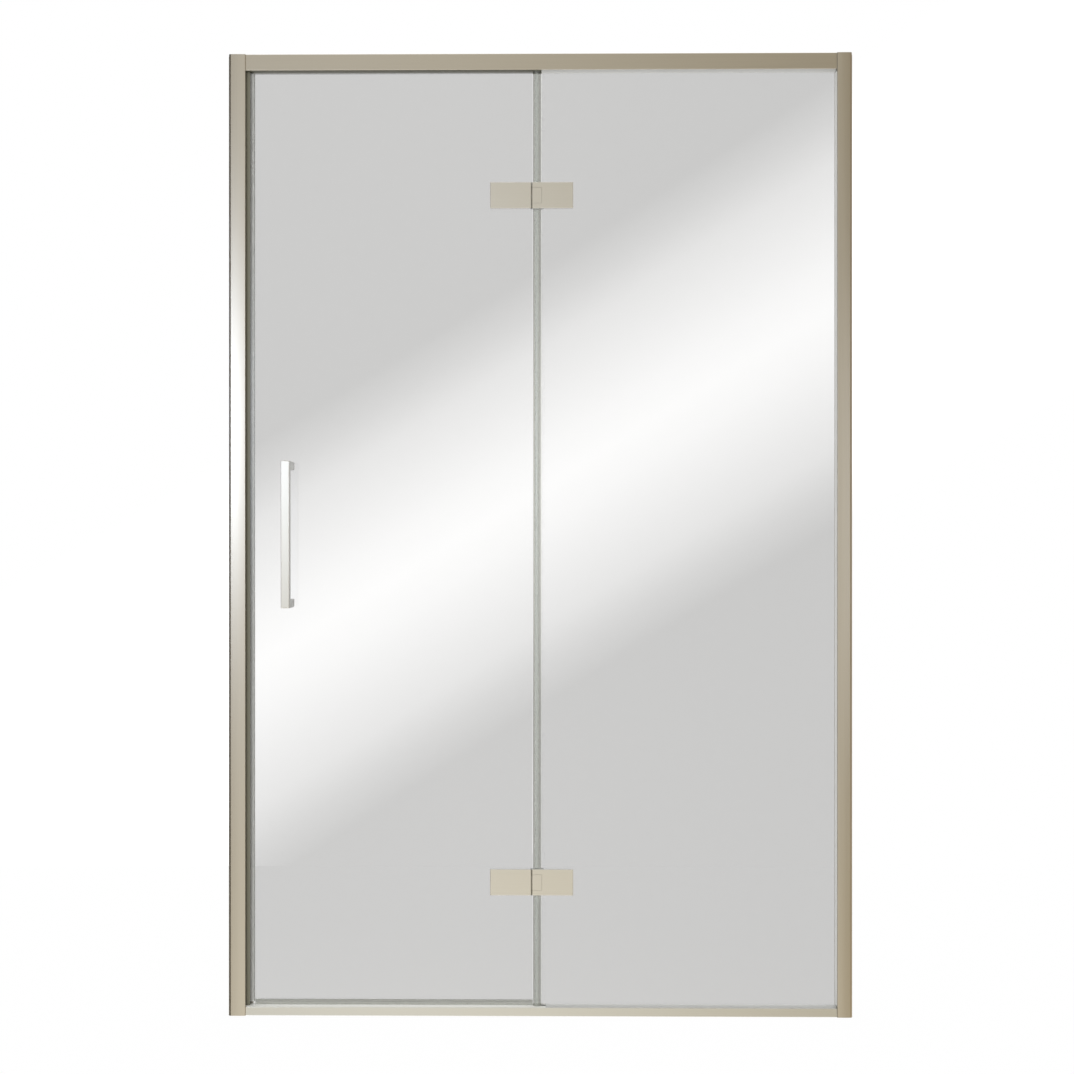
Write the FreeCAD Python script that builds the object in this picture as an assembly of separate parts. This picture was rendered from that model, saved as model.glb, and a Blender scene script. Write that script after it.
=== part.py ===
import FreeCAD, Part
import os

# A hinged glass shower door hung on a fixed glass panel, in a slim metal frame between two walls.
# Millimetres. X runs to the right, Y into the shower, Z up.
# The origin is on the shower tray, at mid width, in the middle of the glass thickness.

# Overall size
overall_width = 1198.0
overall_height = 1850.0

# Glass panes, with the hinge pivot in the middle of the gap between them
glass_thickness = 8.0
glass_arris = 0.6
pane_gap = 17.0
pivot_x = -5.4
door_head_gap = 3.4
door_sill_gap = 7.0

# Posts, extruded to stand against the walls
strike_post_face = 32.4
glazing_post_face = 29.0
post_depth = 34.0
post_crown = 0.5
post_wall = 2.4
post_outer_radius = 5.0
post_inner_radius = 0.8

# Rails, extruded and butted between the posts
rail_setback = 3.0
rail_wall = 2.0
rail_edge_radius = 0.8
top_rail_height = 30.6
threshold_height = 16.5

# Glazing pockets that hold the fixed pane
glazing_strip = 2.0
pocket_wall = 1.5
post_pocket_depth = 17.0
post_bite = 12.0
top_pocket_depth = 17.0
top_bite = 12.0
sill_pocket_depth = 11.0
setting_block_height = 3.0
setting_block_length = 60.0
setting_block_width = 7.6
setting_block_inset = 140.0
strip_lip = 0.5
rail_bead = 4.7
post_bead = 2.2
flange_inset = 1.0
trim_gap = 0.3

# Infill strips that close the rail pockets over and under the door
infill_thickness = 3.0
infill_leg = 7.0
infill_leg_wall = 1.5
infill_fit = 0.1
infill_flange = 0.6

# Wall channels inside the posts
channel_wall = 1.6
channel_reach = 20.0
channel_side_gap = 1.0
wall_hole_radius = 2.6
wall_hole_inset = 130.0
wall_hole_count = 4

# Plugs that close the tops of the posts
cap_thickness = 4.0
cap_fit = 0.2
cap_wall_gap = 2.5

# Screws that lock the posts on the wall channels, with their cover caps
screw_fit = 0.05
post_screw_radius = 2.0
post_screw_head_radius = 4.0
post_screw_head_height = 2.4
post_screw_drive_radius = 1.2
post_screw_drive_depth = 1.4
post_screw_grip = 2.0
post_screw_inset = 250.0
post_screw_count = 3
post_screw_from_wall = 10.0
screw_cap_radius = 5.5
screw_cap_height = 3.6
screw_cap_wall = 0.8

# Screws that join the posts and the rails, in ports that run along the rails
corner_screw_radius = 1.4
corner_screw_head_radius = 2.6
corner_screw_head_height = 1.8
corner_screw_head_gap = 0.1
corner_screw_length = 24.0
screw_port_radius = 2.4
top_port_drop = 10.0
sill_port_rise = 9.0

# Strike side: magnet carrier on a T rib of the post, rear stop on the post, magnet seal on the door
strike_lip = 7.2
carrier_wall = 1.3
carrier_reveal = 1.4
carrier_reveal_depth = 1.2
rib_reach = 2.6
rib_neck = 1.6
rib_head = 4.4
rib_head_thickness = 1.2
rib_fit = 0.1
magnet_width = 8.0
magnet_thickness = 2.4
magnet_fit = 0.1
strike_gap = 0.4
stop_gap = 0.4
stop_thickness = 1.6
stop_reach = 4.2
seal_wall = 1.2
seal_fit = 0.05
edge_seal_pocket = 4.8
edge_seal_reach = 4.0
edge_seal_skin = 0.9
edge_seal_foot_gap = 8.0
seal_rear_setback = 2.0
door_magnet_width = 6.6

# Sweep under the door
sweep_gap = 0.7
sweep_leg = 6.0
sweep_bulb_width = 9.2
sweep_bulb_wall = 1.0
sweep_bulb_radius = 2.0

# Bubble seal on the hinge edge of the fixed pane
bubble_clearance = 0.5
bubble_wall = 1.0
bubble_leg = 8.0
bubble_hinge_gap = 0.5

# Hinges: two clamped leaves with three flush knuckles about one pin
hinge_height = 50.0
door_leaf_width = 79.0
fixed_leaf_width = 78.3
backplate_inset = 2.6
hinge_plate = 5.0
hinge_gasket = 1.0
hinge_edge_radius = 0.7
upper_hinge_drop = 271.2
lower_hinge_rise = 256.2
knuckle_half_flat = 8.9
hinge_seam = 2.5
door_knuckle_height = 30.0
knuckle_relief = 0.25
core_length = 14.2
core_gap = 0.4
notch_gap = 1.0
gasket_inset = 1.0
pin_radius = 4.0
pin_recess = 0.6
pin_press_fit = 0.02
running_fit = 0.06
bush_wall = 1.5
bush_length = 12.0
bush_flange = 1.0
bush_flange_radius = 7.5
bush_flange_fit = 0.1
bush_stand = 0.15
bush_float = 0.15

# Screws that clamp the hinge plates and the handle through the glass
clamp_screw_radius = 3.0
clamp_head_radius = 5.8
clamp_head_depth = 2.8
clamp_screw_pitch = 30.0
clamp_front_skin = 1.4
clamp_through_fit = 0.2
socket_radius = 2.3
socket_depth = 2.0
sleeve_wall = 2.5
sleeve_fit = 0.1

# Handle
handle_section = 16.0
handle_length = 280.0
handle_projection = 52.0
handle_inset = 71.1
handle_height = 925.8
handle_edge_radius = 0.8
handle_washer = 1.0
handle_washer_inset = 0.6
handle_cap_section = 14.0
handle_cap_depth = 6.0
handle_screw_grip = 18.0

# How far a cutting shape runs past the face that it opens
cut_past = 1.0

# Places worked out from the sizes above
half_width = overall_width / 2
half_glass = glass_thickness / 2
half_post = post_depth / 2
half_rail = half_post - rail_setback
half_pocket = half_glass + glazing_strip
strike_post_x = strike_post_face - half_width
glazing_post_x = half_width - glazing_post_face
rail_length = (strike_post_x, glazing_post_x)
rail_underside = overall_height - top_rail_height
sill_top = threshold_height + infill_flange
door_opening = (sill_top + trim_gap, rail_underside - infill_flange - trim_gap)
pane_opening = (threshold_height + trim_gap, rail_underside - trim_gap)
screw_port_y = half_pocket + pocket_wall + corner_screw_head_gap + corner_screw_head_radius

door_hinge_x = pivot_x - pane_gap / 2
fixed_hinge_x = pivot_x + pane_gap / 2
strike_face_x = strike_post_x + strike_lip
door_seal_x = strike_face_x + strike_gap
door_strike_x = door_seal_x + edge_seal_pocket
door_bottom = threshold_height + door_sill_gap
door_top = rail_underside - door_head_gap
fixed_wall_x = glazing_post_x + post_bite
fixed_bottom = threshold_height - sill_pocket_depth + setting_block_height
fixed_top = rail_underside + top_bite

clamp_face = half_glass + hinge_gasket
half_hinge = clamp_face + hinge_plate
knuckle_radius = (half_hinge ** 2 + knuckle_half_flat ** 2) ** 0.5
knuckle_room = knuckle_radius + knuckle_relief
door_leaf_end = knuckle_half_flat + hinge_seam
door_leaf_far = door_leaf_end + door_leaf_width
fixed_leaf_far = fixed_leaf_width - knuckle_half_flat
core_end = door_leaf_end + core_length
half_knuckle = door_knuckle_height / 2
bush_top = half_knuckle + bush_stand
knuckle_parting = bush_top + bush_float
notch_reach = knuckle_radius + notch_gap
half_notch = hinge_height / 2 + notch_gap
sleeve_bore = clamp_screw_radius + clamp_through_fit
glass_hole_radius = sleeve_bore + sleeve_wall + sleeve_fit
seal_slot = half_glass + seal_fit
seal_half = seal_slot + seal_wall
bubble_radius = pane_gap / 2 - bubble_clearance
bubble_leg_end = pane_gap / 2 + bubble_leg
seal_legs_x = pivot_x + bubble_leg_end
infill_end = fixed_hinge_x - trim_gap

hinge_heights = {"upper": overall_height - upper_hinge_drop, "lower": lower_hinge_rise}
handle_x = door_strike_x + handle_inset
handle_post_rise = handle_length / 2 - handle_section / 2
handle_post_heights = (handle_height - handle_post_rise, handle_height + handle_post_rise)

along_x = FreeCAD.Vector(1, 0, 0)
along_y = FreeCAD.Vector(0, 1, 0)
along_z = FreeCAD.Vector(0, 0, 1)
nodes = {}


# Shape helpers
def add(name, *solids):
    nodes[name] = solids[0] if len(solids) == 1 else Part.makeCompound(list(solids))


def both(half):
    return (-half, half)


def spread(first, last, count):
    return [first + (last - first) * step / (count - 1) for step in range(count)]


def box(x_span, y_span, z_span):
    corner = FreeCAD.Vector(x_span[0], y_span[0], z_span[0])
    size = [high - low for low, high in (x_span, y_span, z_span)]
    return Part.makeBox(*size, corner)


def rod(radius, start, end):
    first = FreeCAD.Vector(*start)
    run = FreeCAD.Vector(*end) - first
    return Part.makeCylinder(radius, run.Length, first, run)


def moved(shape, x=0.0, y=0.0, z=0.0):
    return shape.translated(FreeCAD.Vector(x, y, z))


def flipped(shape, direction):
    return shape.mirror(FreeCAD.Vector(0, 0, 0), direction)


def edges_along(shape, direction, where=None):
    found = []
    for edge in shape.Edges:
        first, last = edge.firstVertex().Point, edge.lastVertex().Point
        parallel = abs((last - first).normalize().dot(direction)) > 0.999
        if parallel and (where is None or where(edge.CenterOfMass)):
            found.append(edge)
    return found


def front_and_back(solid):
    return [solid, flipped(solid, along_y)]


# Posts, their wall channels, plugs and screws, all drawn at the left wall
def wall_channel():
    half = half_post - post_wall - channel_side_gap
    height = (0, overall_height - cap_thickness - cap_fit)
    outer = box((-half_width, channel_reach - half_width), both(half), height)
    hollow = box((channel_wall - half_width, 0), both(half - channel_wall), height)
    channel = outer.cut(hollow)
    for z in spread(wall_hole_inset, overall_height - wall_hole_inset, wall_hole_count):
        channel = channel.cut(rod(wall_hole_radius, (-half_width - cut_past, 0, z), (0, 0, z)))
    return channel.cut(post_screw_holes())


def post_shell(face):
    # The front is crowned a little, so that it shades from edge to edge
    wall, middle, inner = [share * face - half_width for share in (0, 0.5, 1)]
    brow = post_crown - half_post
    corners = [(wall, half_post), (wall, brow), (middle, -half_post), (inner, brow), (inner, half_post)]
    rear_wall, front_wall, crest, front_inner, rear_inner = [FreeCAD.Vector(*at) for at in corners]
    sides = [Part.LineSegment(rear_wall, front_wall), Part.Arc(front_wall, crest, front_inner),
             Part.LineSegment(front_inner, rear_inner), Part.LineSegment(rear_inner, rear_wall)]
    outline = Part.Wire([side.toShape() for side in sides])
    shell = Part.Face(outline).extrude(along_z * overall_height)
    shell = shell.makeFillet(post_outer_radius, edges_along(shell, along_z, lambda at: at.x < middle))
    shell = shell.makeFillet(post_inner_radius, edges_along(shell, along_z, lambda at: at.x > middle))
    hollow = box((wall - cut_past, inner - post_wall), both(half_post - post_wall), (0, overall_height))
    return shell.cut(hollow).cut(post_screw_holes()).cut(corner_screw_holes())


def post_screw_heights():
    return spread(post_screw_inset, overall_height - post_screw_inset, post_screw_count)


def post_screw_holes():
    x = post_screw_from_wall - half_width
    radius = post_screw_radius + screw_fit
    holes = [rod(radius, (x, 0, z), (x, half_post + cut_past, z)) for z in post_screw_heights()]
    return Part.makeCompound(holes)


def post_screw():
    tip = half_post - post_wall - channel_side_gap - channel_wall - post_screw_grip
    top = half_post + post_screw_head_height
    shank = rod(post_screw_radius, (0, tip, 0), (0, half_post, 0))
    head = rod(post_screw_head_radius, (0, half_post, 0), (0, top, 0))
    drive = rod(post_screw_drive_radius, (0, top - post_screw_drive_depth, 0), (0, top + cut_past, 0))
    return shank.fuse(head).cut(drive)


def screw_cap():
    top = half_post + screw_cap_height
    cap = rod(screw_cap_radius, (0, half_post, 0), (0, top, 0))
    cap = cap.makeFillet(screw_cap_wall, [edge for edge in cap.Edges if edge.BoundBox.YMin > half_post])
    inner = screw_cap_radius - screw_cap_wall
    return cap.cut(rod(inner, (0, half_post - cut_past, 0), (0, top - screw_cap_wall, 0)))


def at_post_screws(solid):
    left = [moved(solid, post_screw_from_wall - half_width, 0, z) for z in post_screw_heights()]
    return left + [flipped(each, along_x) for each in left]


def corner_screw_places():
    heights = (sill_port_rise, overall_height - top_port_drop)
    return [(y, z) for z in heights for y in both(screw_port_y)]


def corner_screw_holes():
    radius = corner_screw_radius + screw_fit
    holes = [rod(radius, (-half_width, y, z), (0, y, z)) for y, z in corner_screw_places()]
    return Part.makeCompound(holes)


def corner_screws(face):
    seat = face - half_width - post_wall
    screws = []
    for y, z in corner_screw_places():
        head = rod(corner_screw_head_radius, (seat - corner_screw_head_height, y, z), (seat, y, z))
        shank = rod(corner_screw_radius, (seat, y, z), (seat + corner_screw_length, y, z))
        screws.append(head.fuse(shank))
    return screws


def strike_rib(root, fit):
    end = strike_post_x + rib_reach
    neck = box((root, end), both(rib_neck / 2 + fit), door_opening)
    head = box((end - rib_head_thickness - fit, end + fit), both(rib_head / 2 + fit), door_opening)
    return neck.fuse(head)


def strike_post():
    root = strike_post_x - post_wall / 2
    stop_front = seal_half + stop_gap
    stop = box((root, strike_face_x + stop_reach), (stop_front, stop_front + stop_thickness), door_opening)
    return post_shell(strike_post_face).fuse([strike_rib(root, 0), stop]).removeSplitter()


def strike_carrier():
    half_groove = magnet_width / 2 + magnet_fit
    half_carrier = half_groove + carrier_wall
    groove_floor = strike_face_x - magnet_thickness - magnet_fit
    carrier = box((strike_post_x, strike_face_x), both(half_carrier), door_opening)
    groove = box((groove_floor, strike_face_x + cut_past), both(half_groove), door_opening)
    reveal_span = (-half_carrier, carrier_reveal_depth - half_carrier)
    reveal = box((strike_post_x, strike_post_x + carrier_reveal), reveal_span, door_opening)
    return carrier.cut([groove, *front_and_back(reveal), strike_rib(strike_post_x - cut_past, rib_fit)])


def strike_magnet():
    face = strike_face_x - magnet_fit
    return box((face - magnet_thickness, face), both(magnet_width / 2), door_opening)


def glazing_post():
    floor = -glazing_post_x - post_pocket_depth
    whole = (0, overall_height)
    half_walls = half_pocket + pocket_wall
    walls = box((floor - pocket_wall, -glazing_post_x - post_wall / 2), both(half_walls), whole)
    slot = box((floor, -glazing_post_x + cut_past), both(half_pocket), whole)
    return flipped(post_shell(glazing_post_face).fuse(walls).cut(slot).removeSplitter(), along_x)


def post_cap(face):
    inner_x = face - half_width - post_wall - cap_fit
    return box((cap_wall_gap - half_width, inner_x), both(half_post - post_wall - cap_fit),
               (overall_height - cap_thickness, overall_height))


def glazing_post_cap():
    floor = -glazing_post_x - post_pocket_depth
    height = (overall_height - cap_thickness, overall_height)
    walls = box((floor - pocket_wall - cap_fit, 0), both(half_pocket + pocket_wall + cap_fit), height)
    plug = box((floor + cap_fit, -glazing_post_x - post_inner_radius), both(half_pocket - cap_fit), height)
    return [flipped(post_cap(glazing_post_face).cut(walls), along_x), flipped(plug, along_x)]


# Rails with their glazing pockets and screw ports, and the infill strips beside the fixed pane
def rail(height, pocket, port_z):
    shell = box(rail_length, both(half_rail), height)
    shell = shell.makeFillet(rail_edge_radius, edges_along(shell, along_x))
    inside = (height[0] + rail_wall, height[1] - rail_wall)
    shell = shell.cut(box(rail_length, both(half_rail - rail_wall), inside))
    lining = (max(pocket[0] - rail_wall, height[0]), min(pocket[1] + rail_wall, height[1]))
    shell = shell.fuse(box(rail_length, both(half_pocket + rail_wall), lining))
    for y in both(screw_port_y):
        ends = [(x, y, port_z) for x in rail_length]
        shell = shell.fuse(rod(screw_port_radius, *ends))
        shell = shell.cut(rod(corner_screw_radius + screw_fit, *ends))
    return shell.cut(box(rail_length, both(half_pocket), pocket)).removeSplitter()


def top_rail():
    pocket = (rail_underside, rail_underside + top_pocket_depth)
    return rail((rail_underside, overall_height), pocket, overall_height - top_port_drop)


def threshold_rail():
    pocket = (threshold_height - sill_pocket_depth, threshold_height)
    return rail((0, threshold_height), pocket, sill_port_rise)


def infill_strip(flange_end):
    # Where the flange runs on past the strip's end, it is slotted to clear the fixed pane
    length = (strike_post_x + trim_gap, infill_end)
    half = half_pocket - infill_fit
    foot = -infill_thickness - infill_leg
    strip = box(length, both(half), (foot, 0))
    strip = strip.cut(box(length, both(half - infill_leg_wall), (foot, -infill_thickness)))
    flange = box((length[0], flange_end), both(half_rail - flange_inset), (0, infill_flange))
    flange = flange.cut(box((infill_end, flange_end + cut_past), both(seal_slot), (0, infill_flange)))
    return strip.fuse(flange).removeSplitter()


# Glass panes, notched for the hinge knuckles and drilled for the clamp screws
def pane(x_span, z_span):
    sheet = box(x_span, both(half_glass), z_span)
    return sheet.makeChamfer(glass_arris, edges_along(sheet, along_x) + edges_along(sheet, along_z))


def clamp_places(near, far):
    middle = (near + far) / 2
    return [middle - clamp_screw_pitch / 2, middle + clamp_screw_pitch / 2]


fixed_clamps = clamp_places(notch_reach, fixed_leaf_far)
door_clamps = clamp_places(-door_leaf_far, -core_end)


def glass_hole(x, z):
    return rod(glass_hole_radius, (x, -glass_thickness, z), (x, glass_thickness, z))


def fixed_glass():
    sheet = pane((fixed_hinge_x, fixed_wall_x), (fixed_bottom, fixed_top))
    notch = box((0, notch_reach), both(glass_thickness), both(half_notch))
    for z in hinge_heights.values():
        holes = [glass_hole(pivot_x + x, z) for x in fixed_clamps]
        sheet = sheet.cut([moved(notch, pivot_x, 0, z), *holes])
    return sheet


def door_glass():
    sheet = pane((door_strike_x, door_hinge_x), (door_bottom, door_top))
    notch = box((-notch_reach, 0), both(glass_thickness), both(half_notch))
    recess = box((-core_end - core_gap, 0), both(glass_thickness), both(half_knuckle + core_gap))
    for z in hinge_heights.values():
        holes = [glass_hole(pivot_x + x, z) for x in door_clamps]
        sheet = sheet.cut([moved(notch, pivot_x, 0, z), moved(recess, pivot_x, 0, z), *holes])
    return sheet.cut([glass_hole(handle_x, z) for z in handle_post_heights])


# Strips and blocks that bed the fixed pane; outside, a sloped bead on each strip covers the pocket's rim
def wedge(corners, run):
    outline = Part.makePolygon([FreeCAD.Vector(*corner) for corner in (*corners, corners[0])])
    return Part.Face(outline).extrude(run)


def strip_pair(x_span, z_span, bead):
    rear = box(x_span, (seal_slot, half_pocket), z_span)
    return [flipped(rear, along_y).fuse(bead).removeSplitter(), rear]


def side_strips():
    low, high = pane_opening[0] + rail_bead, pane_opening[1] - rail_bead
    rim_end = post_crown + flange_inset - half_post
    corners = [(glazing_post_x, rim_end, low), (glazing_post_x, -seal_slot, low),
               (glazing_post_x - post_bead, -seal_slot, low)]
    bead = wedge(corners, along_z * (high - low))
    return strip_pair((glazing_post_x - strip_lip, fixed_wall_x), pane_opening, bead)


def rail_strips(start, bed_z, rim_z, inward):
    x_span = (start + trim_gap, glazing_post_x - strip_lip - trim_gap)
    corners = [(x_span[0], flange_inset - half_rail, rim_z), (x_span[0], -seal_slot, rim_z),
               (x_span[0], -seal_slot, rim_z + inward * rail_bead)]
    bead = wedge(corners, along_x * (x_span[1] - x_span[0]))
    return strip_pair(x_span, sorted((bed_z, rim_z + inward * strip_lip)), bead)


def setting_blocks():
    last = fixed_wall_x - setting_block_inset - setting_block_length
    z_span = (threshold_height - sill_pocket_depth, fixed_bottom)
    return [box((x, x + setting_block_length), both(setting_block_width / 2), z_span)
            for x in (fixed_hinge_x + setting_block_inset, last)]


# Translucent seals
def bubble_length(z_span):
    ends = [(0, 0, z) for z in z_span]
    inner = bubble_radius - bubble_wall
    clip = box((inner, bubble_leg_end), both(seal_half), z_span)
    clip = clip.cut(box((pane_gap / 2, bubble_leg_end), both(seal_slot), z_span))
    clip = clip.cut(box((bubble_leg_end - seal_rear_setback, bubble_leg_end), (0, seal_half), z_span))
    return moved(rod(bubble_radius, *ends).fuse(clip).cut(rod(inner, *ends)), pivot_x)


def hinge_side_seal():
    ends = [door_opening[0]]
    for z in sorted(hinge_heights.values()):
        ends += [z + side * (hinge_height / 2 + bubble_hinge_gap) for side in (-1, 1)]
    ends.append(door_opening[1])
    lengths = [bubble_length(z_span) for z_span in zip(ends[0::2], ends[1::2])]
    # Under the top rail, the legs stop short of the fixed pane's strips
    legs_top = rail_underside - rail_bead - trim_gap
    notch = box((fixed_hinge_x, seal_legs_x), both(seal_half), (legs_top, door_opening[1]))
    return [*lengths[:-1], lengths[-1].cut(notch)]


edge_seal_height = (threshold_height + edge_seal_foot_gap, door_top)
edge_seal_hollow = (door_seal_x + edge_seal_skin, door_strike_x - edge_seal_skin)


def door_edge_seal():
    legs_end = door_strike_x + edge_seal_reach
    seal = box((door_seal_x, legs_end), both(seal_half), edge_seal_height)
    seal = seal.cut(box((door_strike_x, legs_end), both(seal_slot), edge_seal_height))
    seal = seal.cut(box((legs_end - seal_rear_setback, legs_end), (0, seal_half), edge_seal_height))
    return seal.cut(box(edge_seal_hollow, both(door_magnet_width / 2 + magnet_fit), edge_seal_height))


def door_edge_magnet():
    x_span = (edge_seal_hollow[0] + magnet_fit, edge_seal_hollow[1] - magnet_fit)
    return box(x_span, both(door_magnet_width / 2), edge_seal_height)


def sweep_tube(half, z_span, radius):
    length = (door_strike_x + edge_seal_reach + trim_gap, door_hinge_x)
    tube = box(length, both(half), z_span)
    middle = sum(z_span) / 2
    return tube.makeFillet(radius, edges_along(tube, along_x, lambda at: at.z < middle))


def door_sweep():
    length = (door_strike_x + edge_seal_reach + trim_gap, door_hinge_x)
    web = door_bottom - seal_wall
    foot = sill_top + sweep_gap
    half_bulb = sweep_bulb_width / 2
    legs_end = door_bottom + sweep_leg
    clip = box(length, both(seal_half), (web, legs_end))
    clip = clip.cut(box(length, both(seal_slot), (door_bottom, legs_end)))
    clip = clip.cut(box(length, (0, seal_half), (legs_end - seal_rear_setback, legs_end)))
    bulb = sweep_tube(half_bulb, (foot, web), sweep_bulb_radius)
    hollow = sweep_tube(half_bulb - sweep_bulb_wall, (foot + sweep_bulb_wall, web),
                        sweep_bulb_radius - sweep_bulb_wall)
    return clip.fuse(bulb.cut(hollow)).removeSplitter()


# Hinge pieces, drawn with X from the pivot and Z from mid height
def leaf_plate(x_span, half_height):
    # The front rim is eased all round, except at an end that meets the knuckles on the pivot line
    plate = box(x_span, (-half_hinge, -clamp_face), both(half_height))
    rims = edges_along(plate, along_x, lambda at: at.y < -clamp_face)
    rims += edges_along(plate, along_z, lambda at: at.y < -clamp_face and abs(at.x) > pin_radius)
    return plate.makeFillet(hinge_edge_radius, rims)


def back_plate(x_span, places):
    plate = flipped(leaf_plate(x_span, hinge_height / 2 - backplate_inset), along_y)
    room = turning_room(both(hinge_height / 2))
    return plate.cut([room, *[moved(clamp_screw_room(half_hinge), x) for x in places]])


def turning_room(z_span):
    return rod(knuckle_room, (0, 0, z_span[0]), (0, 0, z_span[1]))


def knuckle(z_span):
    # A round body whose front and back are cut flat, level with the plates
    round_part = rod(knuckle_radius, (0, 0, z_span[0]), (0, 0, z_span[1]))
    return round_part.common(box(both(knuckle_radius), both(half_hinge), z_span))


def end_knuckle():
    block = box(both(knuckle_radius), both(half_hinge), both(hinge_height / 2))
    block = block.makeFillet(hinge_edge_radius, edges_along(block, along_x))
    return block.common(knuckle((knuckle_parting, hinge_height / 2)))


def pin_bore(radius):
    return rod(radius, (0, 0, -hinge_height), (0, 0, hinge_height))


def tapped_holes(places):
    tip = clamp_front_skin - half_hinge
    return [rod(clamp_screw_radius + screw_fit, (x, tip, 0), (x, 0, 0)) for x in places]


def fixed_leaf():
    plate = leaf_plate((0, fixed_leaf_far), hinge_height / 2)
    body = plate.fuse([end_knuckle(), flipped(end_knuckle(), along_z)])
    bore = pin_bore(pin_radius + pin_press_fit)
    return body.cut([turning_room(both(knuckle_parting)), bore, *tapped_holes(fixed_clamps)])


def door_leaf():
    plate = leaf_plate((-door_leaf_far, -door_leaf_end), hinge_height / 2)
    end_room = turning_room((half_knuckle, hinge_height / 2))
    plate = plate.cut([end_room, flipped(end_room, along_z)])
    height = both(half_knuckle)
    core_span = (-half_hinge + hinge_plate / 2, clamp_face - core_gap)
    core = box((-core_end, -door_leaf_end), core_span, height)
    body = plate.fuse([core, knuckle(height)])
    bore = pin_bore(pin_radius + running_fit + bush_wall + pin_press_fit)
    seat = rod(bush_flange_radius + bush_flange_fit, (0, 0, bush_top - bush_flange), (0, 0, hinge_height))
    return body.cut([bore, seat, flipped(seat, along_z), *tapped_holes(door_clamps)])


def leaf_gaskets(side, leaf_far, places):
    # The rear pad is the smaller one, as the back plate is smaller than the leaf
    core_room = box((-core_end - core_gap, 0), both(half_hinge), both(half_knuckle + core_gap))
    holes = [rod(glass_hole_radius, (x, -half_hinge, 0), (x, 0, 0)) for x in places]
    pads = []
    for inset in (gasket_inset, gasket_inset + backplate_inset):
        x_span = sorted(side * end for end in (notch_reach + gasket_inset, leaf_far - inset))
        pad = box(x_span, (-clamp_face, -half_glass), both(hinge_height / 2 - inset))
        pads.append(pad.cut([core_room, *holes]))
    return [pads[0], flipped(pads[1], along_y)]


def hinge_pin():
    reach = hinge_height / 2 - pin_recess
    return rod(pin_radius, (0, 0, -reach), (0, 0, reach))


def bushes():
    inner = pin_radius + running_fit
    barrel = rod(inner + bush_wall, (0, 0, bush_top - bush_length), (0, 0, bush_top))
    flange = rod(bush_flange_radius, (0, 0, bush_top - bush_flange), (0, 0, bush_top))
    upper = barrel.fuse(flange).cut(pin_bore(inner))
    return [upper, flipped(upper, along_z)]


# Clamp screws run along Y through the glass, with their heads inside the shower
def countersink(radius, head_radius, head_y):
    start = FreeCAD.Vector(0, head_y - clamp_head_depth, 0)
    return Part.makeCone(radius, head_radius, clamp_head_depth, start, along_y)


def clamp_screw_room(head_y):
    shank = rod(sleeve_bore, (0, 0, 0), (0, head_y, 0))
    return shank.fuse(countersink(sleeve_bore, clamp_head_radius + clamp_through_fit, head_y))


def clamp_screw(tip_y, head_y):
    shank = rod(clamp_screw_radius, (0, tip_y, 0), (0, head_y - clamp_head_depth, 0))
    head = countersink(clamp_screw_radius, clamp_head_radius, head_y)
    corner = FreeCAD.Vector(0, 0, socket_radius)
    corners = [FreeCAD.Rotation(along_y, 60 * turn).multVec(corner) for turn in range(7)]
    socket = Part.Face(Part.makePolygon(corners)).extrude(along_y * (socket_depth + cut_past))
    return shank.fuse(head).cut(moved(socket, y=head_y - socket_depth))


def sleeve():
    ends = [(0, y, 0) for y in both(half_glass)]
    return rod(sleeve_bore + sleeve_wall, *ends).cut(rod(sleeve_bore, *ends))


def hinge_screw():
    return clamp_screw(clamp_front_skin + screw_fit - half_hinge, half_hinge)


# Handle pieces: the bar about its middle, the others about a post's axis
handle_front = -half_glass - handle_projection
handle_seat = half_glass + handle_washer


def handle_bar():
    y_span = (handle_front, handle_front + handle_section)
    bar = box(both(handle_section / 2), y_span, both(handle_length / 2))
    return bar.makeFillet(handle_edge_radius, bar.Edges)


def handle_post():
    y_span = (handle_front + handle_section, -handle_seat)
    post = box(both(handle_section / 2), y_span, both(handle_section / 2))
    post = post.makeFillet(handle_edge_radius, edges_along(post, along_y))
    tip = -handle_seat - handle_screw_grip
    return post.cut(rod(clamp_screw_radius + screw_fit, (0, tip, 0), (0, 0, 0)))


def handle_washer_pad(section):
    half = section / 2 - handle_washer_inset
    pad = box(both(half), (-handle_seat, -half_glass), both(half))
    return pad.cut(rod(sleeve_bore, (0, -handle_seat, 0), (0, 0, 0)))


def handle_washers():
    return [handle_washer_pad(handle_section), flipped(handle_washer_pad(handle_cap_section), along_y)]


def handle_cap():
    top = handle_seat + handle_cap_depth
    cap = box(both(handle_cap_section / 2), (handle_seat, top), both(handle_cap_section / 2))
    cap = cap.makeFillet(handle_edge_radius, [edge for edge in cap.Edges if edge.BoundBox.YMax > handle_seat])
    return cap.cut(clamp_screw_room(top))


def handle_screw():
    return clamp_screw(screw_fit - handle_seat - handle_screw_grip, handle_seat + handle_cap_depth)


def at_handle_posts(*solids):
    return [moved(solid, handle_x, 0, z) for z in handle_post_heights for solid in solids]


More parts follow.
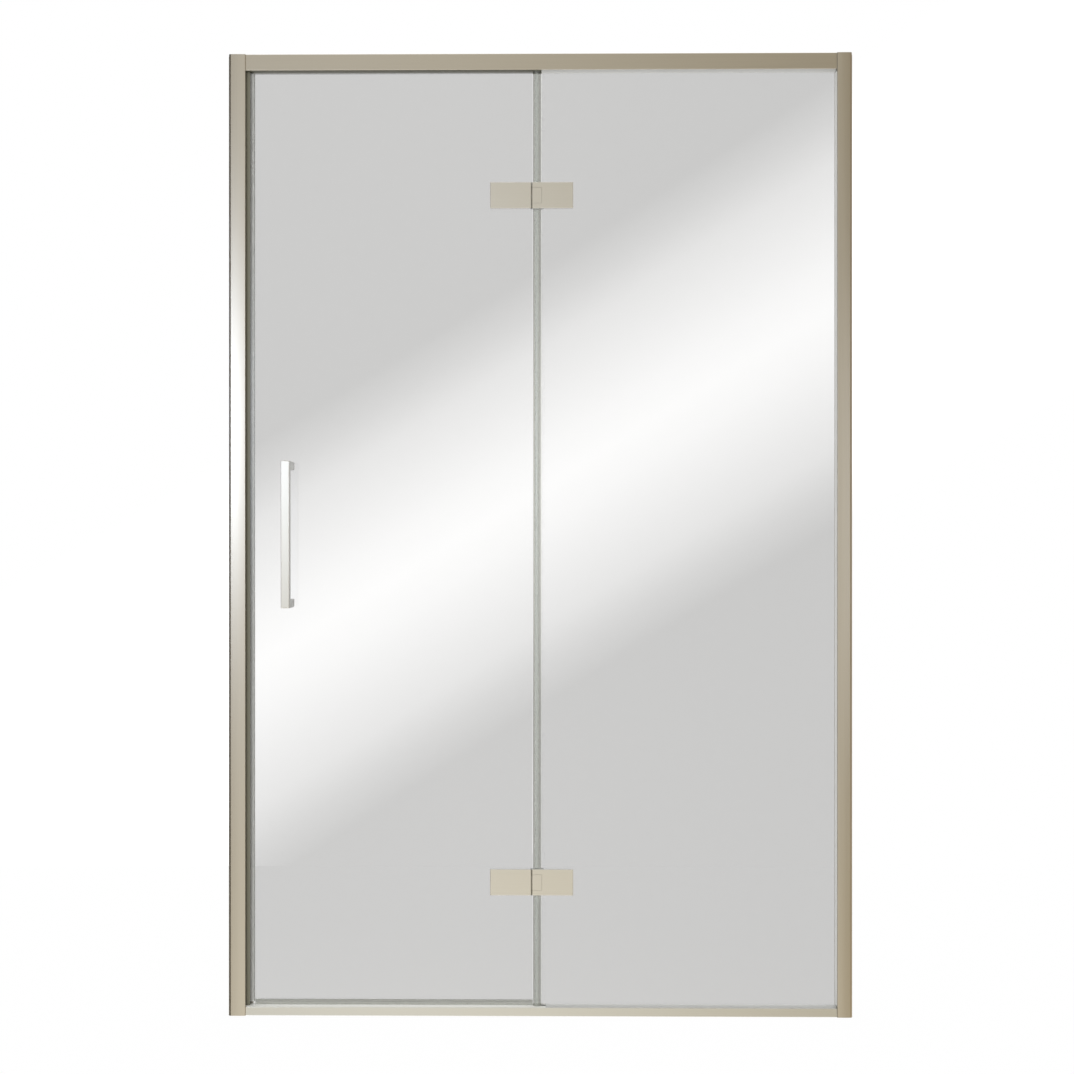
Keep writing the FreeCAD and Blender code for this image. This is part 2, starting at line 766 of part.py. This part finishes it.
def add_hinge(name, height):
    def place(part, *solids):
        add(name + "_" + part, *[moved(solid, pivot_x, 0, height) for solid in solids])

    place("fixed_leaf", fixed_leaf())
    place("fixed_backplate", back_plate((notch_reach, fixed_leaf_far - backplate_inset), fixed_clamps))
    place("fixed_gaskets", *leaf_gaskets(1, fixed_leaf_far, fixed_clamps))
    place("fixed_screws", *[moved(hinge_screw(), x) for x in fixed_clamps])
    place("fixed_sleeves", *[moved(sleeve(), x) for x in fixed_clamps])
    place("hinge_pin", hinge_pin())
    place("door_leaf", door_leaf())
    place("door_backplate", back_plate((backplate_inset - door_leaf_far, -door_leaf_end), door_clamps))
    place("door_gaskets", *leaf_gaskets(-1, door_leaf_far, door_clamps))
    place("door_screws", *[moved(hinge_screw(), x) for x in door_clamps])
    place("door_sleeves", *[moved(sleeve(), x) for x in door_clamps])
    place("hinge_bushes", *bushes())


# The frame
add("left_wall_channel", wall_channel())
add("right_wall_channel", flipped(wall_channel(), along_x))
add("strike_post", strike_post())
add("strike_post_cap", post_cap(strike_post_face))
add("strike_carrier", strike_carrier())
add("strike_magnet", strike_magnet())
add("glazing_post", glazing_post())
add("glazing_post_cap", *glazing_post_cap())
add("post_screws", *at_post_screws(post_screw()))
add("post_screw_caps", *at_post_screws(screw_cap()))
right_corner_screws = [flipped(screw, along_x) for screw in corner_screws(glazing_post_face)]
add("corner_screws", *corner_screws(strike_post_face), *right_corner_screws)
add("top_rail", top_rail())
add("threshold_rail", threshold_rail())
add("top_rail_infill", moved(flipped(infill_strip(infill_end), along_z), z=rail_underside))
add("threshold_infill", moved(infill_strip(seal_legs_x), z=threshold_height))

# The fixed pane and its bedding
add("fixed_glass", fixed_glass())
add("fixed_side_strips", *side_strips())
add("fixed_top_strips", *rail_strips(fixed_hinge_x, fixed_top, rail_underside, -1))
add("fixed_bottom_strips", *rail_strips(seal_legs_x, fixed_bottom, threshold_height, 1))
add("setting_blocks", *setting_blocks())
add("hinge_side_seal", *hinge_side_seal())

# The door, its seals and its handle
add("door_glass", door_glass())
add("door_edge_seal", door_edge_seal())
add("door_edge_magnet", door_edge_magnet())
add("door_sweep", door_sweep())
add("handle_bar", moved(handle_bar(), handle_x, 0, handle_height))
add("handle_lower_post", moved(handle_post(), handle_x, 0, handle_post_heights[0]))
add("handle_upper_post", moved(handle_post(), handle_x, 0, handle_post_heights[1]))
add("handle_washers", *at_handle_posts(*handle_washers()))
add("handle_inner_caps", *at_handle_posts(handle_cap()))
add("handle_screws", *at_handle_posts(handle_screw()))
add("handle_sleeves", *at_handle_posts(sleeve()))

# The hinges
for hinge_name, hinge_z in hinge_heights.items():
    add_hinge(hinge_name, hinge_z)

os.makedirs("parts", exist_ok=True)
for node, shape in nodes.items():
    shape.exportStep("parts/" + node + ".step")
    print(node, len(shape.Solids), "valid" if shape.isValid() else "INVALID", round(shape.Volume, 1))
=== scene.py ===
import bpy
import math
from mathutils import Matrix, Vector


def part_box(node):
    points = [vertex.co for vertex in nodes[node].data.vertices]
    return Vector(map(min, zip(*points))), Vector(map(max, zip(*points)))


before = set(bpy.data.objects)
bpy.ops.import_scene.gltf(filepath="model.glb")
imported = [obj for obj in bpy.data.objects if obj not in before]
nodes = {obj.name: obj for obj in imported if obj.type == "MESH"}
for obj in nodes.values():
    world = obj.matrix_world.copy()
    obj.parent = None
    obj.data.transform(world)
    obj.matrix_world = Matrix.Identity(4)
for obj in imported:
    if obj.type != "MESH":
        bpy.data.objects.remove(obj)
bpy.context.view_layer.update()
mm = 0.001
print("loaded", len(nodes), "nodes")


def linearColour(code):
    parts = [int(code[i:i + 2], 16) / 255 for i in (0, 2, 4)]
    return [p / 12.92 if p <= 0.04045 else ((p + 0.055) / 1.055) ** 2.4 for p in parts] + [1.0]


def greyLevel(level):
    return [level, level, level, 1.0]


# settings go to sockets or options of the node; a link is named for its socket, or _0, _1 for its number
def addNode(tree, kind, settings, **links):
    node = tree.nodes.new(kind)
    for key, value in settings.items():
        if isinstance(key, int) or key in node.inputs:
            node.inputs[key].default_value = value
        else:
            setattr(node, key, value)
    for name, source in links.items():
        socket = int(name[1:]) if name[1:].isdigit() else name.replace("_", " ")
        tree.links.new(source, node.inputs[socket])
    return node


def setStops(ramp, stops):
    points = ramp.color_ramp.elements
    while len(points) < len(stops):
        points.new(0.5)
    for point, (at, colour) in zip(points, stops):
        point.position, point.color = at, colour


def newMaterial(name):
    material = bpy.data.materials.new(name)
    material.use_nodes = True
    material.node_tree.nodes.clear()
    return material, material.node_tree


def finishMaterial(tree, surface):
    addNode(tree, "ShaderNodeOutputMaterial", {}, Surface=surface)


def dress(material, *names):
    for name in names:
        nodes[name].material_slots[0].material = material


def hingePieces(*pieces):
    return [hinge + piece for hinge in ("upper_", "lower_") for piece in pieces]


# camera at the photo's viewpoint: level, at half height, a touch to the right; lens and sensor in mm
photoCamera = {
    "lens": 50.64, "sensor": 36, "shift": (-0.00163, -0.00192),
    "place": (0.0272, -2.917, 0.925), "turn": 0.578,
}
uprightTilt = math.radians(90)  # from looking straight down to looking level, into the shower


def addCamera():
    data = bpy.data.cameras.new("photoCamera")
    data.lens, data.sensor_width = photoCamera["lens"], photoCamera["sensor"]
    data.shift_x, data.shift_y = photoCamera["shift"]
    camera = bpy.data.objects.new("photoCamera", data)
    camera.location = photoCamera["place"]
    camera.rotation_euler = (uprightTilt, 0, math.radians(photoCamera["turn"]))
    bpy.context.scene.collection.objects.link(camera)
    bpy.context.scene.camera = camera


addCamera()
bpy.context.scene.view_settings.view_transform = "Standard"
print("camera set")

# studio: white surround with a slanted streak of stronger light behind the panes; what the metal mirrors is
# a warm room in front, toned by how far a reflection heads to the right and upwards, and white paper behind
studio = {
    "streakNormal": (-0.52427, -0.03084, 0.85099), "streakHalf": 0.122, "streakGain": 0.70,
    "streakFade": ((0.0, 1.0), (0.18, 0.905), (0.64, 0.506), (0.82, 0.22), (1.0, 0.0)),
    "streakAhead": {"From Min": 0.5, "From Max": 0.7},
    "room": ((-1.0, "3c3324"), (-0.7, "453b2a"), (-0.36, "857b66"), (-0.2, "ece5d6"), (-0.06, "ece4d3"),
             (0.05, "cdc4b0"), (0.2, "9d8f72"), (0.4, "9d8d72"), (1.0, "aa9a7e")),
    "roomRise": ((-0.34, 0.88), (-0.3, 0.78), (-0.276, 0.65), (-0.25, 0.56), (-0.2, 0.53), (0.0, 0.50),
                 (0.32, 0.47), (0.55, 0.5), (0.85, 0.9)),
    "roomGain": 2.0,
    "paperAhead": {"From Min": 0.5, "From Max": 0.75},
    "paperGlow": {"From Min": -0.3, "From Max": 0.15, "To Min": 0.9, "To Max": 1.1},
}
paperWhite = linearColour("ffffff")


def whiteSurround(tree, heading, axes):
    off = addNode(tree, "ShaderNodeVectorMath", {"operation": "DOT_PRODUCT", 1: studio["streakNormal"]},
                  Vector=heading)
    off = addNode(tree, "ShaderNodeMath", {"operation": "ABSOLUTE"}, Value=off.outputs["Value"])
    off = addNode(tree, "ShaderNodeMapRange", {"From Max": studio["streakHalf"]}, Value=off.outputs[0])
    fade = addNode(tree, "ShaderNodeValToRGB", {}, Fac=off.outputs[0])
    setStops(fade, [(at, greyLevel(level)) for at, level in studio["streakFade"]])
    ahead = addNode(tree, "ShaderNodeMapRange", studio["streakAhead"], Value=axes["Y"])
    streak = addNode(tree, "ShaderNodeMath", {"operation": "MULTIPLY"},
                     _0=fade.outputs[0], _1=ahead.outputs[0])
    glow = addNode(tree, "ShaderNodeMath", {"operation": "MULTIPLY_ADD", 1: studio["streakGain"], 2: 1.0},
                   _0=streak.outputs[0])
    white = addNode(tree, "ShaderNodeBackground", {"Color": paperWhite}, Strength=glow.outputs[0])
    return white.outputs[0]


def mirroredRoom(tree, axes):
    tones = [(at, linearColour(code)) for at, code in studio["room"]]
    levels = [(at, greyLevel(level)) for at, level in studio["roomRise"]]
    ramps = []
    for axis, stops in (("X", tones), ("Z", levels)):
        share = addNode(tree, "ShaderNodeMapRange", {"From Min": -1.0, "From Max": 1.0}, Value=axes[axis])
        ramp = addNode(tree, "ShaderNodeValToRGB", {}, Fac=share.outputs[0])
        setStops(ramp, [((at + 1) / 2, colour) for at, colour in stops])
        ramps.append(ramp.outputs[0])
    gain = addNode(tree, "ShaderNodeMath", {"operation": "MULTIPLY", 1: studio["roomGain"]}, _0=ramps[1])
    room = addNode(tree, "ShaderNodeBackground", {}, Color=ramps[0], Strength=gain.outputs[0])
    glow = addNode(tree, "ShaderNodeMapRange", studio["paperGlow"], Value=axes["Z"])
    paper = addNode(tree, "ShaderNodeBackground", {"Color": paperWhite}, Strength=glow.outputs[0])
    behind = addNode(tree, "ShaderNodeMapRange", studio["paperAhead"], Value=axes["Y"])
    mix = addNode(tree, "ShaderNodeMixShader", {},
                  _0=behind.outputs[0], _1=room.outputs[0], _2=paper.outputs[0])
    return mix.outputs[0]


def addWorld():
    world = bpy.data.worlds.new("studio")
    bpy.context.scene.world = world
    world.use_nodes = True
    tree = world.node_tree
    tree.nodes.clear()
    heading = addNode(tree, "ShaderNodeTexCoord", {}).outputs["Generated"]
    axes = addNode(tree, "ShaderNodeSeparateXYZ", {}, Vector=heading).outputs
    ray = addNode(tree, "ShaderNodeLightPath", {})
    bounced = addNode(tree, "ShaderNodeMath", {"operation": "MULTIPLY"},
                      _0=ray.outputs["Is Glossy Ray"], _1=ray.outputs["Is Reflection Ray"])
    mix = addNode(tree, "ShaderNodeMixShader", {}, _0=bounced.outputs[0],
                  _1=whiteSurround(tree, heading, axes), _2=mirroredRoom(tree, axes))
    addNode(tree, "ShaderNodeOutputWorld", {}, Surface=mix.outputs[0])


# opal acrylic, cast: a light table that glows evenly, so the sill stands on plain white
lightTable = {
    "corners": (-4.0, -4.0, 4.0, 1.3), "drop": 0.5 * mm, "glow": 1.0, "skin": 0.04,
    "cloud": 200 * mm, "cloudTone": {"To Min": 0.96, "To Max": 1.0},
}


def opalAcrylic(width):
    material, tree = newMaterial("opal acrylic cast")
    glow = addNode(tree, "ShaderNodeEmission", {"Strength": lightTable["glow"]})
    clouds = addNode(tree, "ShaderNodeTexNoise", {"Scale": width / lightTable["cloud"], "Detail": 2.0})
    tone = addNode(tree, "ShaderNodeMapRange", lightTable["cloudTone"], Value=clouds.outputs["Fac"])
    skin = addNode(tree, "ShaderNodeBsdfDiffuse", {}, Color=tone.outputs[0])
    blend = addNode(tree, "ShaderNodeMixShader", {"Fac": lightTable["skin"]},
                    _1=glow.outputs[0], _2=skin.outputs[0])
    finishMaterial(tree, blend.outputs[0])
    return material


def addLightTable():
    x0, y0, x1, y1 = lightTable["corners"]
    mesh = bpy.data.meshes.new("floor")
    mesh.from_pydata([(x0, y0, 0), (x1, y0, 0), (x1, y1, 0), (x0, y1, 0)], [], [(0, 1, 2, 3)])
    floor = bpy.data.objects.new("floor", mesh)
    floor.data.materials.append(opalAcrylic(x1 - x0))
    floor.location.z = -lightTable["drop"]
    floor.visible_glossy = False  # the metal mirrors the room in its place
    bpy.context.scene.collection.objects.link(floor)


addWorld()
addLightTable()

# softboxes that only the metal mirrors; glow is radiance against the white surround
softboxes = {
    "leftStrip": {"place": (-1.36, -3.0, 1.34), "size": (0.35, 0.82), "glow": 12.3, "tone": "e6efff"},
    "rightStrip": {"place": (1.34, -3.0, 0.98), "size": (0.35, 1.45), "glow": 1.6, "tone": "f4f8ff"},
}


def addSoftbox(name, box):
    width, height = box["size"]
    light = bpy.data.lights.new(name, "AREA")
    light.shape = "RECTANGLE"
    light.size, light.size_y = width, height
    light.energy = math.pi * width * height * box["glow"]
    light.color = linearColour(box["tone"])[:3]
    lamp = bpy.data.objects.new(name, light)
    lamp.location = box["place"]
    lamp.rotation_euler = (uprightTilt, 0, 0)
    lamp.visible_camera = lamp.visible_diffuse = lamp.visible_transmission = False
    bpy.context.scene.collection.objects.link(lamp)


for name, box in softboxes.items():
    addSoftbox(name, box)
print("studio lit")


# streaks, lines or mottle: noise as fine as the look's width, and as long as its run along one axis
def addGrain(tree, look, along):
    stretch = [1 / look["width"]] * 3
    stretch["xyz".index(along)] = 1 / look["run"]
    where = addNode(tree, "ShaderNodeTexCoord", {})
    scaled = addNode(tree, "ShaderNodeMapping", {"Scale": stretch}, Vector=where.outputs["Object"])
    grain = addNode(tree, "ShaderNodeTexNoise", {"Scale": 1.0, "Detail": look["detail"]},
                    Vector=scaled.outputs[0])
    return grain.outputs["Fac"]


mixLow, mixHigh, mixOut = 6, 7, 2  # colour sockets of a Mix node

# satin nickel, plated then brushed: a warm grey whose fine streaks stretch each highlight along the piece
brushing = {
    "width": 1.6 * mm, "run": 160 * mm, "detail": 3.0,  # real streaks are 0.1 mm wide, drawn coarser
    "spread": 0.03, "bump": {"Strength": 0.08, "Distance": 0.1 * mm},
}
frameMetal = {**brushing, "low": "cac7c0", "high": "d2cfc8", "roughness": 0.34}
# the sill is the same satin nickel painted lighter and cooler: painted light for the light falling on its
# top
sillMetalPaintedLight = {**brushing, "low": "dadee1", "high": "e0e4e7", "roughness": 0.34}
# the hinge plates are the same satin nickel painted lighter: painted light for the brighter light on them
hingeMetalPaintedLight = {**brushing, "low": "e2e3e2", "high": "e8e9e8", "roughness": 0.36}
# the bar and its posts are the same satin nickel painted lighter: painted light for the lamp close beside
# them
handleMetalPaintedLight = {**brushing, "low": "d5d5d1", "high": "dbdbd7", "roughness": 0.36}


def streakedMetal(name, look, along, *names):
    material, tree = newMaterial(name)
    streaks = addGrain(tree, look, along)
    colour = addNode(tree, "ShaderNodeMix", {"data_type": "RGBA", mixLow: linearColour(look["low"]),
                     mixHigh: linearColour(look["high"])}, _0=streaks)
    low, high = look["roughness"] - look["spread"], look["roughness"] + look["spread"]
    rough = addNode(tree, "ShaderNodeMapRange", {"To Min": low, "To Max": high}, Value=streaks)
    metal = addNode(tree, "ShaderNodeBsdfPrincipled", {"Metallic": 1.0},
                    Base_Color=colour.outputs[mixOut], Roughness=rough.outputs[0])
    if "bump" in look:
        bump = addNode(tree, "ShaderNodeBump", look["bump"], Height=streaks)
        tree.links.new(bump.outputs[0], metal.inputs["Normal"])
    finishMaterial(tree, metal.outputs[0])
    dress(material, *names)


streakedMetal("satin nickel brushed upright", frameMetal, "z", "strike_post", "glazing_post")
streakedMetal("satin nickel brushed lengthways", frameMetal, "x", "top_rail", "strike_post_cap",
              "glazing_post_cap", "post_screw_caps")
streakedMetal("satin nickel brushed sill with painted light", sillMetalPaintedLight, "x", "threshold_rail")
streakedMetal("satin nickel brushed hinge plate with painted light", hingeMetalPaintedLight, "x",
              *hingePieces("fixed_leaf", "fixed_backplate", "door_leaf", "door_backplate"))
streakedMetal("satin nickel brushed bar with painted light", handleMetalPaintedLight, "z", "handle_bar", "handle_lower_post",
              "handle_upper_post", "handle_inner_caps")
print("nickel dressed")

# float glass, toughened: a faint grey body, and a slow roller wave that bends reflections a little
paneGlass = {"tint": "cbcbcb", "ior": 1.52, "roughness": 0.0, "wave": 280 * mm, "waveDepth": 0.02 * mm}


def floatGlass(*names):
    material, tree = newMaterial("float glass toughened")
    where = addNode(tree, "ShaderNodeTexCoord", {})
    wave = addNode(tree, "ShaderNodeTexNoise", {"Scale": 1 / paneGlass["wave"], "Detail": 0.0},
                   Vector=where.outputs["Object"])
    bump = addNode(tree, "ShaderNodeBump", {"Distance": paneGlass["waveDepth"]}, Height=wave.outputs["Fac"])
    pane = addNode(tree, "ShaderNodeBsdfPrincipled",
                   {"Base Color": linearColour(paneGlass["tint"]), "Roughness": paneGlass["roughness"],
                    "IOR": paneGlass["ior"], "Transmission Weight": 1.0}, Normal=bump.outputs[0])
    finishMaterial(tree, pane.outputs[0])
    dress(material, *names)


floatGlass("door_glass", "fixed_glass")

plasticSkin = {"detail": 2.0, "bump": {"Strength": 0.1, "Distance": 0.1 * mm}}
extrusion = {**plasticSkin, "ior": 1.53, "width": 1.1 * mm, "run": 160 * mm}  # real die lines are finer
# PVC, extruded: cloudy clear, with fine die lines along its length; across a seal, each stop gives the
# mm from its left side, the tint and the share that is clear
sealPvc = {
    **extrusion, "clarity": 0.85, "rough": {"To Min": 0.22, "To Max": 0.36},
    "across": ((0.0, "f0f1ed", 0.0), (6.4, "f0f1ed", 0.0), (7.6, "b8b8b4", 0.0), (8.8, "b4b4b0", 0.0)),
}
sweepPvc = {**extrusion, "clarity": 0.85, "rough": {"To Min": 0.22, "To Max": 0.36}, "body": "dbdcd7"}
# PVC, co-extruded: the hinge seal's cloudy bubble turns clear grey at both sides, and its legs are clear
bubblePvc = {
    **extrusion, "clarity": 0.9, "rough": {"To Min": 0.14, "To Max": 0.24},
    "across": ((0.0, "d9d9d7", 0.96), (1.2, "d9d9d7", 0.96), (2.4, "ebebe9", 0.96),
               (4.0, "e6e7e4", 0.6), (5.4, "d9dbd8", 0.0), (9.6, "d4d6d2", 0.0),
               (11.0, "dedfdc", 0.6), (12.2, "e4e4e2", 0.95), (14.2, "e1e1df", 0.96),
               (15.4, "e1e1df", 0.96), (16.4, "f0f0ee", 0.96), (17.2, "ffffff", 0.97)),
}


def tintAcross(tree, stops, piece, skin):
    start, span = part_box(piece)[0][0], stops[-1][0]
    where = addNode(tree, "ShaderNodeTexCoord", {})
    place = addNode(tree, "ShaderNodeSeparateXYZ", {}, Vector=where.outputs["Object"])
    share = addNode(tree, "ShaderNodeMapRange", {"From Min": start, "From Max": start + span * mm},
                    Value=place.outputs["X"])
    ramp = addNode(tree, "ShaderNodeValToRGB", {}, Fac=share.outputs[0])
    setStops(ramp, [(at / span, linearColour(code)[:3] + [clear]) for at, code, clear in stops])
    tree.links.new(ramp.outputs["Color"], skin.inputs["Base Color"])
    clear = addNode(tree, "ShaderNodeBsdfTransparent", {}, Color=ramp.outputs["Color"])
    mix = addNode(tree, "ShaderNodeMixShader", {},
                  _0=ramp.outputs["Alpha"], _1=skin.outputs[0], _2=clear.outputs[0])
    return mix.outputs[0]


def clearPvc(name, look, along, piece):
    material, tree = newMaterial(name)
    lines = addGrain(tree, look, along)
    rough = addNode(tree, "ShaderNodeMapRange", look["rough"], Value=lines)
    bump = addNode(tree, "ShaderNodeBump", look["bump"], Height=lines)
    skin = addNode(tree, "ShaderNodeBsdfPrincipled",
                   {"IOR": look["ior"], "Transmission Weight": look["clarity"]},
                   Roughness=rough.outputs[0], Normal=bump.outputs[0])
    if "across" in look:
        surface = tintAcross(tree, look["across"], piece, skin)
    else:
        skin.inputs["Base Color"].default_value = linearColour(look["body"])
        surface = skin.outputs[0]
    finishMaterial(tree, surface)
    dress(material, piece)


clearPvc("clear PVC extruded upright", sealPvc, "z", "door_edge_seal")
clearPvc("clear PVC extruded lengthways", sweepPvc, "x", "door_sweep")
clearPvc("clear PVC co-extruded", bubblePvc, "z", "hinge_side_seal")
for name in ("door_glass", "fixed_glass", "door_edge_seal", "door_sweep"):
    nodes[name].visible_diffuse = False  # clear pieces let soft light through to what stands beside them
print("glass and seals dressed")

# grey PVC, extruded: dull grey with shallow die lines that break its sheen; the infill under the top rail
# is drawn darker still, as painted shade for the shadow under the rail
carrierPvc = {**extrusion, "low": "747362", "high": "807f6f", "roughness": 0.45}
headPvcPaintedShade = {**extrusion, "low": "525042", "high": "5c5a4c", "roughness": 0.45}
# milky PVC, extruded: pale and soft, so the strips that bed the fixed pane fade into the glass
beddingPvc = {**extrusion, "low": "e4e4e0", "high": "ecece8", "roughness": 0.5, "clear": 0.45}
sidePvc = {**beddingPvc, "clear": 0.25}
# white PVC, extruded: the strip in the sill under the door, its white a painted highlight for the light
# falling on the sill's top, under a soft sheen
sillStripPaintedHighlight = {**extrusion, "low": "e2e2dc", "high": "ecece6", "roughness": 0.5}
# ferrite rubber, pressed in strips: near black, with the mottle of its powder, drawn coarser than it is
magnetRubber = {
    **plasticSkin, "low": "1e1e1f", "high": "2c2c2d", "ior": 1.5, "roughness": 0.7,
    "width": 1.2 * mm, "run": 1.2 * mm,
}
# silicone rubber, die cut: matt and pale, with a faint mottle, drawn coarser than it is
padRubber = {
    **plasticSkin, "low": "c4c4be", "high": "d0d0ca", "ior": 1.5, "roughness": 0.8,
    "width": 1.5 * mm, "run": 1.5 * mm,
}
# nylon, injection moulded: milky white with a soft orange-peel sheen
nylon = {
    **plasticSkin, "low": "dbdad3", "high": "e6e5de", "ior": 1.53, "roughness": 0.4,
    "width": 2.5 * mm, "run": 2.5 * mm,
}


def plainPlastic(name, look, along, *names):
    material, tree = newMaterial(name)
    grain = addGrain(tree, look, along)
    colour = addNode(tree, "ShaderNodeMix", {"data_type": "RGBA", mixLow: linearColour(look["low"]),
                     mixHigh: linearColour(look["high"])}, _0=grain)
    bump = addNode(tree, "ShaderNodeBump", look["bump"], Height=grain)
    body = addNode(tree, "ShaderNodeBsdfPrincipled", {"IOR": look["ior"], "Roughness": look["roughness"]},
                   Base_Color=colour.outputs[mixOut], Normal=bump.outputs[0])
    surface = body.outputs[0]
    if "clear" in look:
        clear = addNode(tree, "ShaderNodeBsdfTransparent", {})
        mix = addNode(tree, "ShaderNodeMixShader", {"Fac": look["clear"]}, _1=surface, _2=clear.outputs[0])
        surface = mix.outputs[0]
    finishMaterial(tree, surface)
    dress(material, *names)


plainPlastic("grey PVC extruded upright", carrierPvc, "z", "strike_carrier")
# the infill's dark grey is painted shade for the shadow under the top rail
plainPlastic("dark grey PVC extruded lengthways with painted shade", headPvcPaintedShade, "x", "top_rail_infill")
plainPlastic("ferrite rubber pressed", magnetRubber, "z", "strike_magnet", "door_edge_magnet")
plainPlastic("milky PVC extruded upright", sidePvc, "z", "fixed_side_strips")
plainPlastic("milky PVC extruded lengthways", beddingPvc, "x", "fixed_top_strips", "fixed_bottom_strips")
# the strip's white is a painted highlight for the light on the sill's top
plainPlastic("white PVC extruded lengthways as painted highlight", sillStripPaintedHighlight, "x", "threshold_infill")
plainPlastic("silicone rubber die cut", padRubber, "z", *hingePieces("fixed_gaskets", "door_gaskets"))
plainPlastic("nylon injection moulded", nylon, "z", "setting_blocks", "handle_washers", "handle_sleeves",
             *hingePieces("fixed_sleeves", "door_sleeves", "hinge_bushes"))
print("plastics dressed")

# stainless steel, turned: cool grey with fine marks from the tool, drawn coarser than real
screwSteel = {
    "low": "bdbcb8", "high": "cfceca", "roughness": 0.28, "spread": 0.05,
    "width": 0.5 * mm, "run": 5 * mm, "detail": 2.0,
}
# aluminium, mill finish: pale grey with draw lines along the bar, drawn coarser than real
channelAluminium = {
    "low": "d5d6d8", "high": "e0e1e3", "roughness": 0.42, "spread": 0.05,
    "width": 1.5 * mm, "run": 15 * mm, "detail": 2.0,
}

streakedMetal("stainless steel turned", screwSteel, "y", "post_screws", "corner_screws", "handle_screws",
              *hingePieces("fixed_screws", "door_screws", "hinge_pin"))
streakedMetal("aluminium mill finish", channelAluminium, "z", "left_wall_channel", "right_wall_channel")
print("steel and aluminium dressed")
